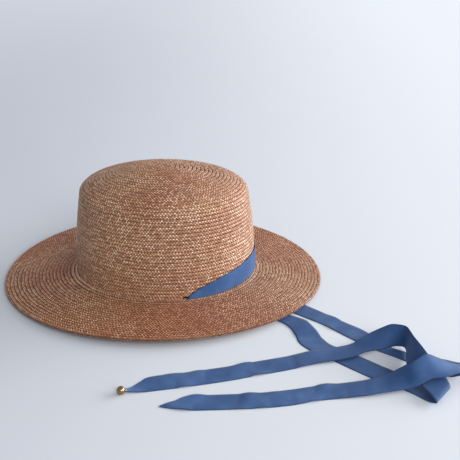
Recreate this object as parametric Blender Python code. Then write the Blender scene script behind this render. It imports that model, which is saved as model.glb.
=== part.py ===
"""Straw hat: a domed oval crown, a wide brim, a ribbon threaded through two slits, and a metal bead.

Metres, +Z up. The hat lies brim down on z = 0, with its long side facing -Y and the origin under the
middle of the whole thing, ribbon ends included.
"""

import math
from collections import namedtuple

import bmesh
import bpy
from mathutils import Euler, Vector

# Straw
STRAW = 0.0020
CROWN_HALF_LENGTH = 0.1000
CROWN_HALF_WIDTH = 0.0855
CROWN_HEIGHT = 0.1194
CROWN_TAPER = 0.0073
CROWN_BULGE = 0.0019
SHOULDER_WIDTH = 0.0265
SHOULDER_DEPTH = 0.0199
DOME_RISE = 0.0098
BRIM_WIDTH = 0.0780
BRIM_LIFT = 0.0065
BRIM_CURVE = 1.3
JOIN_HEIGHT = 0.0075
SEAT_GAP = 0.0003

# Ribbon
RIBBON_WIDTH = 0.0240
RIBBON_THICKNESS = 0.0010
RIBBON_GAP = 0.0004
RIBBON_GATHER = 0.89
SLIT_ROOM = 0.0006
SLIT_END_ROOM = 0.0034
SLIT_ANGLE = -64.0
CUT_REACH = 0.0100

# Bead
BEAD_DIAMETER = 0.0078
BEAD_NECK = 0.0030
BEAD_NECK_LENGTH = 0.0016
BEAD_TILT = 20.0

# How far the loose ends lie turned against the hat, in degrees
LAY_TURN = 4.5

# Steps of the faceted surfaces
CROWN_STEPS = 72
CROWN_SIDE_ROWS = 4
SHOULDER_ROWS = 6
DOME_ROWS = 4
BRIM_STEPS = 90
BRIM_ROWS = 4
BRIM_EDGE_ROWS = 4
RIBBON_STEP = 0.0060
BEAD_STEPS = 16
BEAD_ROWS = 8

# The brim's edge, by direction: its width as a share of BRIM_WIDTH and its lift as a share of BRIM_LIFT
Edge = namedtuple("Edge", "direction width lift")
BRIM_EDGE = (
    Edge(0.0, 0.955, 0.00),
    Edge(45.0, 0.965, 0.20),
    Edge(90.0, 0.985, 0.85),
    Edge(135.0, 1.005, 0.70),
    Edge(180.0, 1.025, 0.12),
    Edge(200.0, 1.030, 0.10),
    Edge(225.0, 1.035, 0.45),
    Edge(270.0, 1.020, 1.00),
    Edge(315.0, 0.980, 0.75),
)

# The ribbon round the crown, from the near slit to the end of the oval: the share of that way, the
# height of its middle over the join as a share of RIBBON_WIDTH, how far its upper edge leans back and
# its width as a share of RIBBON_WIDTH. The far half mirrors it.
Wrap = namedtuple("Wrap", "way height lean spread")
RIBBON_WRAP = (
    Wrap(0.027, 0.130, 81.0, 0.90),
    Wrap(0.086, 0.230, 68.0, 0.92),
    Wrap(0.191, 0.340, 56.0, 0.96),
    Wrap(0.316, 0.435, 42.0, 0.96),
    Wrap(0.469, 0.515, 29.0, 0.95),
    Wrap(0.637, 0.590, 17.0, 0.98),
    Wrap(0.812, 0.660, 7.0, 1.00),
    Wrap(1.000, 0.690, 0.0, 1.00),
)

# The ribbon's way inside the crown, down to the surface: how far past the wall it lies, as a share of
# RIBBON_WIDTH, and how far it has dropped, from 0 in the slit to 1 on the surface
Drop = namedtuple("Drop", "inward dropped")
RIBBON_DROP = (
    Drop(0.05, 0.0),
    Drop(0.16, 0.22),
    Drop(0.28, 0.72),
    Drop(0.44, 1.0),
)

# How a ribbon end lies on the surface, a row for each section: its middle along and across the hat as
# shares of the brim's reach, the layers of ribbon under it, how far it stands clear as a share of
# RIBBON_WIDTH, the direction across it, how steeply it is tipped up and its width as a share. The near
# tip also rises to the bead's neck, by a share for each of its sections.
Lay = namedtuple("Lay", "along aside layers clear across rise spread")
NEAR_END = (
    Lay(0.157, -0.367, 0.0, 0.00, 18.0, 0.0, 1.00),
    Lay(0.142, -0.303, 0.0, 0.00, 25.0, 0.0, 1.05),
    Lay(0.138, -0.260, 0.0, 0.00, 35.0, 0.0, 1.12),
    Lay(0.135, -0.246, 1.0, 0.00, 37.0, 0.0, 1.14),
    Lay(0.145, -0.251, 2.0, 0.00, 39.0, 0.0, 1.12),
    Lay(0.180, -0.257, 2.0, 0.00, 47.0, 0.0, 1.06),
    Lay(0.245, -0.281, 2.0, 0.00, 54.0, 0.0, 1.02),
    Lay(0.325, -0.327, 1.0, 0.00, 55.0, 0.0, 1.00),
    Lay(0.415, -0.396, 0.1, 0.00, 54.0, 0.0, 0.98),
    Lay(0.560, -0.528, 0.0, 0.00, 52.0, 0.0, 0.90),
    Lay(0.717, -0.655, 0.2, 0.00, 40.0, 3.0, 0.72),
    Lay(0.785, -0.740, 0.3, 0.00, 33.0, 8.0, 0.80),
    Lay(0.825, -0.835, 0.0, 0.00, 28.0, 5.0, 0.95),
    Lay(0.850, -0.930, 0.0, 0.00, 22.0, 0.0, 1.05),
    Lay(0.895, -1.010, 0.0, 0.00, 24.0, 0.0, 1.00),
    Lay(0.975, -1.085, 0.0, 0.00, 36.0, 0.0, 1.00),
    Lay(1.090, -1.205, 0.0, 0.00, 43.0, 0.0, 1.00),
    Lay(1.200, -1.315, 0.0, 0.00, 42.0, 0.0, 1.00),
    Lay(1.330, -1.417, 0.0, 0.00, 46.0, 0.0, 1.00),
    Lay(1.410, -1.505, 0.2, 0.00, 50.0, 0.0, 1.04),
    Lay(1.440, -1.545, 1.2, 0.03, 53.0, 0.0, 1.08),
    Lay(1.448, -1.560, 2.6, 0.05, 53.0, 0.0, 1.10),
    Lay(1.443, -1.536, 3.6, 0.06, 47.0, 2.0, 1.12),
    Lay(1.425, -1.468, 3.8, 0.06, 36.0, 6.0, 1.10),
    Lay(1.392, -1.385, 2.6, 0.06, 28.0, 20.0, 1.04),
    Lay(1.370, -1.298, 1.8, 0.04, 20.0, 44.0, 1.00),
    Lay(1.358, -1.215, 1.2, 0.02, 15.0, 62.0, 1.00),
    Lay(1.356, -1.135, 1.2, 0.00, 14.0, 74.0, 0.94),
    Lay(1.358, -1.062, 1.2, 0.00, 22.0, 83.0, 0.89),
    Lay(1.348, -1.018, 1.2, 0.00, 52.0, 85.0, 0.92),
    Lay(1.312, -1.000, 1.2, 0.00, 80.0, 80.0, 0.92),
    Lay(1.275, -0.994, 1.3, 0.00, 87.0, 62.0, 0.92),
    Lay(1.236, -0.996, 1.5, 0.00, 89.0, 38.0, 0.94),
    Lay(1.186, -0.996, 1.7, 0.00, 91.0, 17.0, 1.00),
    Lay(1.125, -1.020, 1.8, 0.00, 90.0, 6.0, 1.00),
    Lay(1.068, -1.062, 1.7, 0.00, 88.0, 0.0, 1.00),
    Lay(0.985, -1.098, 1.5, 0.00, 88.0, 0.0, 0.98),
    Lay(0.855, -1.130, 0.9, 0.00, 92.0, 0.0, 0.97),
    Lay(0.690, -1.192, 0.0, 0.00, 94.0, 0.0, 0.98),
    Lay(0.510, -1.255, 0.0, 0.00, 94.0, 0.0, 1.00),
    Lay(0.400, -1.295, 0.0, 0.00, 94.0, 0.0, 1.00),
    Lay(0.205, -1.352, 0.0, 0.00, 95.0, 0.0, 1.00),
    Lay(0.010, -1.400, 0.0, 0.00, 95.0, 0.0, 1.00),
)
NEAR_TIP = (
    Lay(-0.045, -1.432, 0.0, 0.00, 96.0, 0.0, 0.72),
    Lay(-0.092, -1.467, 0.0, 0.00, 98.0, 0.0, 0.30),
    Lay(-0.110, -1.480, 0.0, 0.00, 110.0, 0.0, 0.10),
)
TIP_RISE = (0.0, 0.30, 1.0)

FAR_END = (
    Lay(0.160, 0.330, 0.0, 0.00, -10.0, 0.0, 1.00),
    Lay(0.165, 0.200, 0.0, 0.00, 8.0, 0.0, 1.00),
    Lay(0.225, 0.070, 0.0, 0.00, 30.0, 0.0, 1.00),
    Lay(0.335, -0.070, 0.0, 0.00, 41.0, 0.0, 1.00),
    Lay(0.475, -0.215, 0.0, 0.00, 44.0, 0.0, 0.98),
    Lay(0.650, -0.370, 0.0, 0.00, 45.0, 0.0, 0.95),
    Lay(0.830, -0.547, 0.0, 0.00, 44.0, 0.0, 0.92),
    Lay(0.960, -0.680, 0.0, 0.00, 42.0, 0.0, 0.84),
    Lay(1.030, -0.760, 0.0, 0.00, 42.0, 0.0, 0.86),
    Lay(1.115, -0.860, 0.0, 0.00, 46.0, 0.0, 0.92),
    Lay(1.240, -1.025, 0.0, 0.00, 50.0, 0.0, 0.62),
    Lay(1.312, -1.088, 0.0, 0.00, 54.0, 0.0, 0.60),
    Lay(1.420, -1.165, 0.0, 0.00, 60.0, 0.0, 0.86),
    Lay(1.520, -1.225, 0.0, 0.00, 62.0, 0.0, 1.12),
    Lay(1.566, -1.262, 0.4, 0.02, 62.0, 0.0, 1.16),
    Lay(1.594, -1.282, 1.2, 0.06, 62.0, 0.0, 1.06),
    Lay(1.610, -1.312, 2.9, 0.14, 68.0, -6.0, 0.88),
    Lay(1.592, -1.340, 4.2, 0.24, 80.0, -10.0, 0.82),
    Lay(1.532, -1.366, 4.8, 0.28, 90.0, -4.0, 0.90),
    Lay(1.464, -1.392, 4.8, 0.26, 96.0, 18.0, 0.96),
    Lay(1.398, -1.405, 4.2, 0.24, 98.0, 36.0, 1.00),
    Lay(1.335, -1.428, 3.4, 0.10, 100.0, 38.0, 0.96),
    Lay(1.272, -1.412, 2.4, 0.00, 95.0, 16.0, 1.04),
    Lay(1.195, -1.428, 1.9, 0.00, 89.0, 4.0, 1.02),
    Lay(1.115, -1.448, 1.5, 0.00, 86.0, 0.0, 1.04),
    Lay(1.000, -1.467, 0.7, 0.00, 86.0, 0.0, 1.00),
    Lay(0.865, -1.487, 0.0, 0.00, 91.0, 0.0, 0.97),
    Lay(0.695, -1.535, 0.0, 0.00, 90.0, 0.0, 1.00),
    Lay(0.520, -1.565, 0.0, 0.00, 89.0, 0.0, 0.98),
    Lay(0.330, -1.578, 0.0, 0.00, 91.0, 0.0, 0.96),
    Lay(0.200, -1.585, 0.0, 0.00, 93.0, 0.0, 0.92),
)
FAR_TIP = (
    Lay(0.130, -1.604, 0.0, 0.00, 92.0, 0.0, 0.50),
    Lay(0.062, -1.615, 0.0, 0.00, 90.0, 0.0, 0.08),
)

# Colours of the plain materials: red, green, blue
STRAW_COLOUR = (0.27, 0.13, 0.065)
RIBBON_COLOUR = (0.075, 0.15, 0.33)
GOLD_COLOUR = (0.70, 0.47, 0.17)


def material(name, colour, roughness, metallic=0.0):
    """Return a Principled material."""
    made = bpy.data.materials.new(name)
    made.use_nodes = True
    shader = made.node_tree.nodes["Principled BSDF"]
    shader.inputs["Base Color"].default_value = (*colour, 1.0)
    shader.inputs["Roughness"].default_value = roughness
    shader.inputs["Metallic"].default_value = metallic
    return made


def solid(name, points, faces, finish):
    """Return an object made from points and faces, with its faces turned outwards."""
    mesh = bpy.data.meshes.new(name)
    mesh.from_pydata([tuple(point) for point in points], [], faces)
    shape = bmesh.new()
    shape.from_mesh(mesh)
    bmesh.ops.recalc_face_normals(shape, faces=shape.faces)
    shape.to_mesh(mesh)
    shape.free()
    mesh.materials.append(finish)
    mesh.shade_smooth()
    mesh.set_sharp_from_angle(angle=math.radians(40))
    made = bpy.data.objects.new(name, mesh)
    bpy.context.scene.collection.objects.link(made)
    return made


def mix(low, high, share):
    """Return the value a share of the way from low to high."""
    return low + (high - low) * share


def smooth_between(before, low, high, after, share):
    """Return a value on the smooth curve through low and high."""
    rise = 0.5 * (high - before)
    leave = 0.5 * (after - low)
    bend = low - high
    return low + share * (rise + share * (-3.0 * bend - 2.0 * rise - leave + share * (2.0 * bend + rise + leave)))


def around(table, direction, column):
    """Return a column of a table of directions, read smoothly at one direction in degrees."""
    direction %= 360.0
    count = len(table)
    place = max(index for index, row in enumerate(table) if row.direction <= direction + 1e-9)
    start = table[place].direction
    end = table[(place + 1) % count].direction
    end += 360.0 if end <= start else 0.0
    values = [getattr(table[(place + step) % count], column) for step in (-1, 0, 1, 2)]
    return smooth_between(*values, (direction - start) / (end - start))


# Crown

def crown_side(height):
    """Return how far the crown's side lies inside its base oval at a height over the join."""
    share = min(max(height / shoulder_start(), 0.0), 1.0)
    return CROWN_TAPER * share - CROWN_BULGE * math.sin(math.pi * share)


def shoulder_start():
    """Return the height over the join at which the shoulder begins."""
    return CROWN_HEIGHT - DOME_RISE - SHOULDER_DEPTH


def crown_profile():
    """Return the crown's outer profile as (inset, height) pairs from the join to the top's edge."""
    levels = [shoulder_start() * row / CROWN_SIDE_ROWS for row in range(CROWN_SIDE_ROWS + 1)]
    rows = [(crown_side(level), level) for level in levels]
    dome_radius = CROWN_HALF_LENGTH - CROWN_TAPER - SHOULDER_WIDTH
    slope = 2.0 * DOME_RISE / dome_radius
    rim = CROWN_HEIGHT - DOME_RISE
    corner = rim - slope * SHOULDER_WIDTH
    for row in range(1, SHOULDER_ROWS + 1):
        share = row / SHOULDER_ROWS
        inset = CROWN_TAPER + SHOULDER_WIDTH * share * share
        height = mix(mix(shoulder_start(), corner, share), mix(corner, rim, share), share)
        rows.append((inset, height))
    return rows


def offset_profile(rows, depth):
    """Return a profile moved inwards by a depth, square to its own slope."""
    moved = []
    for index, (inset, height) in enumerate(rows):
        before = rows[max(index - 1, 0)]
        after = rows[min(index + 1, len(rows) - 1)]
        run = after[0] - before[0]
        climb = after[1] - before[1]
        length = math.hypot(run, climb)
        moved.append((inset + depth * climb / length, height - depth * run / length))
    return moved


def oval(inset, height, steps):
    """Return a ring of points inside the crown's base oval."""
    ring = []
    for step in range(steps):
        turn = math.tau * step / steps
        ring.append(Vector(((CROWN_HALF_LENGTH - inset) * math.cos(turn),
                            (CROWN_HALF_WIDTH - inset) * math.sin(turn), height)))
    return ring


def dome(rim, top, shares):
    """Return rings that close a rim ring up to a domed top, and the top point."""
    rim_height = rim[0].z
    rings = []
    for share in shares:
        height = mix(top, rim_height, share * share)
        rings.append([Vector((point.x * share, point.y * share, height)) for point in rim])
    return rings, Vector((0.0, 0.0, top))


def skin(rings, start, steps):
    """Return the quads between neighbouring rings, whose points begin at an index."""
    faces = []
    for row in range(len(rings) - 1):
        low = start + row * steps
        high = low + steps
        for step in range(steps):
            after = (step + 1) % steps
            faces.append((low + step, low + after, high + after, high + step))
    return faces


def crown_shell(base):
    """Return the points and faces of the hollow crown, whose lower edge lies at a height."""
    steps = CROWN_STEPS
    outer_rows = crown_profile()
    outer_rows[0] = (crown_side(0.0), SEAT_GAP)
    inner_rows = offset_profile(outer_rows, STRAW)
    inner_rows[0] = (crown_side(0.0) + STRAW, SEAT_GAP)
    dome_shares = [1.0 - row / (DOME_ROWS + 1) for row in range(1, DOME_ROWS + 1)]
    shells = []
    for rows, top in ((outer_rows, CROWN_HEIGHT), (inner_rows, CROWN_HEIGHT - STRAW)):
        rings = [oval(inset, base + height, steps) for inset, height in rows]
        closing, peak = dome(rings[-1], base + top, dome_shares)
        shells.append((rings + closing, peak))
    points = []
    faces = []
    starts = []
    for rings, peak in shells:
        start = len(points)
        starts.append(start)
        points.extend(point for ring in rings for point in ring)
        points.append(peak)
        faces.extend(skin(rings, start, steps))
        last = start + (len(rings) - 1) * steps
        faces.extend((last + step, last + (step + 1) % steps, start + len(rings) * steps)
                     for step in range(steps))
    faces.extend((starts[0] + step, starts[0] + (step + 1) % steps,
                  starts[1] + (step + 1) % steps, starts[1] + step) for step in range(steps))
    return points, faces


def slit_height():
    """Return the room that the ribbon has in a slit, over the brim."""
    return RIBBON_THICKNESS + 2.0 * SLIT_ROOM


def slit_span(room):
    """Return half the angle that the gathered ribbon takes up in a slit, with some room at each end."""
    return math.degrees((0.5 * RIBBON_WIDTH * RIBBON_GATHER + room) / wall_speed(SLIT_ANGLE))


def slit_cutter(side):
    """Return a block that opens one slit through the foot of the crown, side being -1 near or 1 far."""
    left = wall_point(SLIT_ANGLE - slit_span(SLIT_END_ROOM), side, 0.0, 0.0)
    right = wall_point(SLIT_ANGLE + slit_span(SLIT_END_ROOM), side, 0.0, 0.0)
    along = (right - left).normalized()
    inward = Vector((-along.y, along.x, 0.0)) * -side
    outside = inward * -CUT_REACH
    inside = inward * (STRAW + CUT_REACH)
    corners = [left + outside, right + outside, right + inside, left + inside]
    levels = (join_top() - CUT_REACH, join_top() + slit_height())
    points = [Vector((corner.x, corner.y, level)) for level in levels for corner in corners]
    faces = [(0, 1, 2, 3), (4, 5, 6, 7)]
    faces.extend((step, (step + 1) % 4, (step + 1) % 4 + 4, step + 4) for step in range(4))
    cutter = solid("slit_cutter_near" if side < 0 else "slit_cutter_far", points, faces, None)
    cutter.hide_render = True
    cutter.display_type = "WIRE"
    return cutter


def make_crown(finish):
    """Make the crown, with a slit in its foot on each long side."""
    crown = solid("crown", *crown_shell(join_top()), finish)
    for side in (-1, 1):
        cut = crown.modifiers.new("slit", "BOOLEAN")
        cut.operation = "DIFFERENCE"
        cut.solver = "EXACT"
        cut.object = slit_cutter(side)
    return crown


# Brim

def join_top():
    """Return the height of the brim's upper face at the crown."""
    return JOIN_HEIGHT + STRAW


def brim_point(turn, share, rise):
    """Return a point of the brim, share 0 at the crown and 1 at the edge, risen over its underside."""
    direction = math.degrees(turn)
    reach = share * BRIM_WIDTH * around(BRIM_EDGE, direction, "width")
    lift = BRIM_LIFT * max(around(BRIM_EDGE, direction, "lift"), 0.0)
    height = mix(JOIN_HEIGHT, lift, max(share, 0.0) ** BRIM_CURVE)
    return Vector(((CROWN_HALF_LENGTH + reach) * math.cos(turn),
                   (CROWN_HALF_WIDTH + reach) * math.sin(turn), height + rise))


def brim_profile():
    """Return the brim's section as (share, rise) pairs, from the crown out over a round edge and back."""
    shares = [-STRAW / BRIM_WIDTH] + [row / BRIM_ROWS for row in range(BRIM_ROWS)]
    upper = [(share, STRAW) for share in shares]
    lower = [(share, 0.0) for share in reversed(shares)]
    edge = []
    for row in range(BRIM_EDGE_ROWS + 1):
        turn = math.pi * (0.5 - row / BRIM_EDGE_ROWS)
        edge.append((1.0 - 0.5 * STRAW * (1.0 - math.cos(turn)) / BRIM_WIDTH,
                     0.5 * STRAW * (1.0 + math.sin(turn))))
    return upper + edge + lower


def make_brim(finish):
    """Make the brim, a gently sloping oval ring with a round edge."""
    turns = [math.tau * step / BRIM_STEPS for step in range(BRIM_STEPS)]
    rings = [[brim_point(turn, share, rise) for turn in turns] for share, rise in brim_profile()]
    points = [point for ring in rings for point in ring]
    faces = skin(rings, 0, BRIM_STEPS)
    last = (len(rings) - 1) * BRIM_STEPS
    faces.extend((last + step, last + (step + 1) % BRIM_STEPS, (step + 1) % BRIM_STEPS, step)
                 for step in range(BRIM_STEPS))
    return solid("brim", points, faces, finish)


# Ribbon

def wall_point(angle, side, inset, height):
    """Return a point on the crown's side, with an angle measured as on the near side."""
    turn = math.radians(angle if side < 0 else -angle)
    depth = crown_side(height) + inset
    return Vector(((CROWN_HALF_LENGTH - depth) * math.cos(turn),
                   (CROWN_HALF_WIDTH - depth) * math.sin(turn), join_top() + height))


def wall_speed(angle):
    """Return how far a point moves along the crown's base oval for each radian at an angle."""
    turn = math.radians(angle)
    return math.hypot(CROWN_HALF_LENGTH * math.sin(turn), CROWN_HALF_WIDTH * math.cos(turn))


def proud_of_wall():
    """Return how far the middle of the ribbon's thickness lies outside the crown's face."""
    return SEAT_GAP + RIBBON_GAP + 0.5 * RIBBON_THICKNESS


def wrap_sections():
    """Return the ribbon's sections round the crown, from the near slit to the far one."""
    half = []
    for row in RIBBON_WRAP:
        angle = SLIT_ANGLE * (1.0 - row.way)
        lean = math.radians(row.lean)
        section = []
        for edge in (1.0, 0.0, -1.0):
            reach = 0.5 * RIBBON_WIDTH * row.spread * edge
            back = math.degrees(reach * math.sin(lean) / wall_speed(angle))
            height = RIBBON_WIDTH * row.height + reach * math.cos(lean)
            section.append(wall_point(angle - back, -1, -proud_of_wall(), height))
        half.append(section)
    other = [[Vector((point.x, -point.y, point.z)) for point in section] for section in reversed(half[:-1])]
    return half + other


def drop_sections(side):
    """Return the ribbon's sections through one slit and down inside the crown."""
    in_slit = join_top() + SLIT_ROOM + 0.5 * RIBBON_THICKNESS
    on_surface = 0.5 * RIBBON_THICKNESS
    places = [(-proud_of_wall(), 0.0), (0.5 * STRAW, 0.0)]
    places.extend((STRAW + row.inward * RIBBON_WIDTH, row.dropped) for row in RIBBON_DROP)
    sections = []
    for depth, dropped in places:
        section = []
        for edge in (-1.0, 0.0, 1.0):
            point = wall_point(SLIT_ANGLE + edge * slit_span(0.0), side, depth, 0.0)
            point.z = mix(in_slit, on_surface, dropped)
            section.append(point)
        sections.append(section)
    return sections


def lay_sections(rows):
    """Return the sections of a ribbon end that lies on the surface."""
    reach_along = CROWN_HALF_LENGTH + BRIM_WIDTH
    reach_aside = CROWN_HALF_WIDTH + BRIM_WIDTH
    turn = Euler((0.0, 0.0, math.radians(LAY_TURN)))
    sections = []
    for row in rows:
        half = 0.5 * RIBBON_WIDTH * row.spread
        across = math.radians(row.across + LAY_TURN)
        rise = math.radians(row.rise)
        height = 0.5 * RIBBON_THICKNESS + row.layers * (RIBBON_THICKNESS + RIBBON_GAP)
        height += row.clear * RIBBON_WIDTH + half * math.sin(rise)
        middle = Vector((row.along * reach_along, row.aside * reach_aside, height))
        middle.rotate(turn)
        step = Vector((math.cos(across) * math.cos(rise), math.sin(across) * math.cos(rise),
                       math.sin(rise))) * half
        sections.append([middle - step, middle, middle + step])
    return sections


def smooth_sections(sections):
    """Return sections read from smooth curves along the ribbon, about RIBBON_STEP apart."""
    fine = []
    for index in range(len(sections) - 1):
        four = [sections[min(max(index + step, 0), len(sections) - 1)] for step in (-1, 0, 1, 2)]
        length = max((four[2][line] - four[1][line]).length for line in range(3))
        count = max(1, round(length / RIBBON_STEP))
        for step in range(count):
            share = step / count
            fine.append([smooth_between(*(row[line] for row in four), share) for line in range(3)])
    fine.append(sections[-1])
    for section in fine:
        for point in section:
            point.z = max(point.z, 0.5 * RIBBON_THICKNESS)
    return fine


def make_ribbon(finish):
    """Make the one ribbon, from the near tip through both slits to the far tip."""
    near = drop_sections(-1) + lay_sections(NEAR_END) + near_tip_sections()
    far = drop_sections(1) + lay_sections(FAR_END + FAR_TIP)
    sections = smooth_sections(list(reversed(near)) + wrap_sections() + far)
    points = []
    for index, section in enumerate(sections):
        before = sections[max(index - 1, 0)]
        after = sections[min(index + 1, len(sections) - 1)]
        across = (section[2] - section[0]).normalized()
        normals = [(after[line] - before[line]).cross(across).normalized() * (0.5 * RIBBON_THICKNESS)
                   for line in range(3)]
        points.extend(point + normal for point, normal in zip(section, normals))
        points.extend(point - normal for point, normal in zip(reversed(section), reversed(normals)))
    count = len(sections)
    faces = [(0, 1, 4, 5), (1, 2, 3, 4)]
    faces.extend([tuple(6 * (count - 1) + corner for corner in face) for face in faces])
    for index in range(count - 1):
        low = 6 * index
        for corner in range(6):
            after = (corner + 1) % 6
            faces.append((low + corner, low + after, low + 6 + after, low + 6 + corner))
    return solid("ribbon", points, faces, finish)


# Bead

def bead_shoulder():
    """Return the angle from the bead's axis at which its neck meets its ball."""
    return math.asin(BEAD_NECK / BEAD_DIAMETER)


def neck_reach():
    """Return how far the end of the bead's neck lies from the ball's middle."""
    return 0.5 * BEAD_DIAMETER * math.cos(bead_shoulder()) + BEAD_NECK_LENGTH


def near_tip_sections():
    """Return the sections of the near tip, which rises to the end of the bead's neck."""
    sections = lay_sections(NEAR_TIP)
    neck_height = 0.5 * BEAD_DIAMETER - neck_reach() * math.sin(math.radians(BEAD_TILT))
    rise = neck_height - sections[-1][1].z
    for section, share in zip(sections, TIP_RISE):
        for point in section:
            point.z += rise * share
    return sections


def make_bead(finish):
    """Make the metal bead that ends the near tip, a ball whose short neck points at the ribbon."""
    sections = near_tip_sections()
    heading = sections[-1][1] - sections[-2][1]
    heading.z = 0.0
    heading.normalize()
    tilt = math.radians(BEAD_TILT)
    axis = heading * math.cos(tilt) + Vector((0.0, 0.0, math.sin(tilt)))
    side = Vector((-heading.y, heading.x, 0.0))
    up = axis.cross(side)
    room = SEAT_GAP + 0.5 * RIBBON_THICKNESS * math.sin(tilt)
    middle = sections[-1][1] + axis * (neck_reach() + room)
    middle.z = 0.5 * BEAD_DIAMETER
    profile = [(0.5 * BEAD_NECK, -neck_reach())]
    for row in range(BEAD_ROWS):
        turn = mix(bead_shoulder(), math.pi, row / BEAD_ROWS)
        profile.append((0.5 * BEAD_DIAMETER * math.sin(turn), -0.5 * BEAD_DIAMETER * math.cos(turn)))
    rings = []
    for spread, place in profile:
        turns = [math.tau * step / BEAD_STEPS for step in range(BEAD_STEPS)]
        rings.append([middle + axis * place + (side * math.cos(turn) + up * math.sin(turn)) * spread
                      for turn in turns])
    points = [point for ring in rings for point in ring] + [middle + axis * (0.5 * BEAD_DIAMETER)]
    faces = skin(rings, 0, BEAD_STEPS)
    faces.append(tuple(range(BEAD_STEPS)))
    last = (len(rings) - 1) * BEAD_STEPS
    faces.extend((last + step, last + (step + 1) % BEAD_STEPS, len(points) - 1) for step in range(BEAD_STEPS))
    return solid("bead", points, faces, finish)


def centre_on_origin(pieces):
    """Move every piece so that the middle of the whole lies over the origin."""
    corners = [vertex.co for piece in pieces for vertex in piece.data.vertices]
    shift = Vector((0.0, 0.0, 0.0))
    for axis in (0, 1):
        values = [corner[axis] for corner in corners]
        shift[axis] = -0.5 * (min(values) + max(values))
    for made in bpy.context.scene.objects:
        made.location = made.location + shift


def main():
    """Make the hat."""
    for old in list(bpy.data.objects):
        bpy.data.objects.remove(old, do_unlink=True)
    straw = material("straw", STRAW_COLOUR, 0.62)
    cloth = material("ribbon_cloth", RIBBON_COLOUR, 0.55)
    gold = material("gold", GOLD_COLOUR, 0.3, metallic=1.0)
    pieces = [make_crown(straw), make_brim(straw), make_ribbon(cloth), make_bead(gold)]
    centre_on_origin(pieces)


main()
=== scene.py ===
"""Looks of a straw hat with a ribbon tie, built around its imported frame.

Metres, +Z up, in the frame's own place: the hat rests brim down on z = 0 with its long side facing -Y.
The hat's own shapes are worked out round the middle of its crown, and moved to where the frame has it.
"""

import logging
import math
from collections import namedtuple
from dataclasses import dataclass, field
from enum import Enum
from typing import Any, Optional, Sequence, Union

import bpy
import numpy as np
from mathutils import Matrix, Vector


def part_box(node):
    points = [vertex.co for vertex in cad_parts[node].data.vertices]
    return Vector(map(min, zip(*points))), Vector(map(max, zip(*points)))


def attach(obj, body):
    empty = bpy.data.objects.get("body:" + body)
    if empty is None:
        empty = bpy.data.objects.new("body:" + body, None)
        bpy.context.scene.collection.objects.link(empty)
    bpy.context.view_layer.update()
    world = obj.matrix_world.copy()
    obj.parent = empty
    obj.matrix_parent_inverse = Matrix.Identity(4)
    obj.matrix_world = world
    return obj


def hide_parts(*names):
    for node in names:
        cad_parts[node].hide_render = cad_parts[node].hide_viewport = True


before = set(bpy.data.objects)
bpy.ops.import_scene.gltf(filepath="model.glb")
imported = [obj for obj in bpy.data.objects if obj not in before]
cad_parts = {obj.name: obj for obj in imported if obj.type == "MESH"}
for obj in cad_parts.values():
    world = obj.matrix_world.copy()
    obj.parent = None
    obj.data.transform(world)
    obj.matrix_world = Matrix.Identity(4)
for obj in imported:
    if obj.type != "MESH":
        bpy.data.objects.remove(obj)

log = logging.getLogger("straw_hat")

PHOTO_SIDE = 460


# Trees of nodes

class Socket:
    """An output of a node, whose arithmetic adds Math nodes to its tree."""

    def __init__(self, graph: "Graph", link: bpy.types.NodeSocket) -> None:
        """Wrap an output socket of a graph."""
        self.graph = graph
        self.link = link

    def _math(self, operation: str, *values: Any) -> "Socket":
        """Return the result of a Math node on some values or sockets."""
        return self.graph.node("ShaderNodeMath", dict(enumerate(values)), operation=operation)

    def __add__(self, other: Any) -> "Socket":
        """Return self plus other."""
        return self._math("ADD", self, other)

    def __sub__(self, other: Any) -> "Socket":
        """Return self minus other."""
        return self._math("SUBTRACT", self, other)

    def __mul__(self, other: Any) -> "Socket":
        """Return self times other."""
        return self._math("MULTIPLY", self, other)

    def __radd__(self, other: Any) -> "Socket":
        """Return other plus self."""
        return self._math("ADD", other, self)

    def __rsub__(self, other: Any) -> "Socket":
        """Return other minus self."""
        return self._math("SUBTRACT", other, self)

    def __rmul__(self, other: Any) -> "Socket":
        """Return other times self."""
        return self._math("MULTIPLY", other, self)

    def __gt__(self, other: Any) -> "Socket":
        """Return 1 where self is greater than other, and 0 elsewhere."""
        return self._math("GREATER_THAN", self, other)

    def __abs__(self) -> "Socket":
        """Return the size of self, without its sign."""
        return self._math("ABSOLUTE", self)

    def sine(self) -> "Socket":
        """Return the sine of self."""
        return self._math("SINE", self)

    def cosine(self) -> "Socket":
        """Return the cosine of self."""
        return self._math("COSINE", self)

    def floor(self) -> "Socket":
        """Return self rounded down."""
        return self._math("FLOOR", self)

    def between(self, low: float, high: float) -> "Socket":
        """Return how far self has come from low to high, from 0 to 1, smoothly."""
        return self.graph.node("ShaderNodeMapRange", {"Value": self, "From Min": low, "From Max": high},
                               interpolation_type="SMOOTHSTEP")


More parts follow.
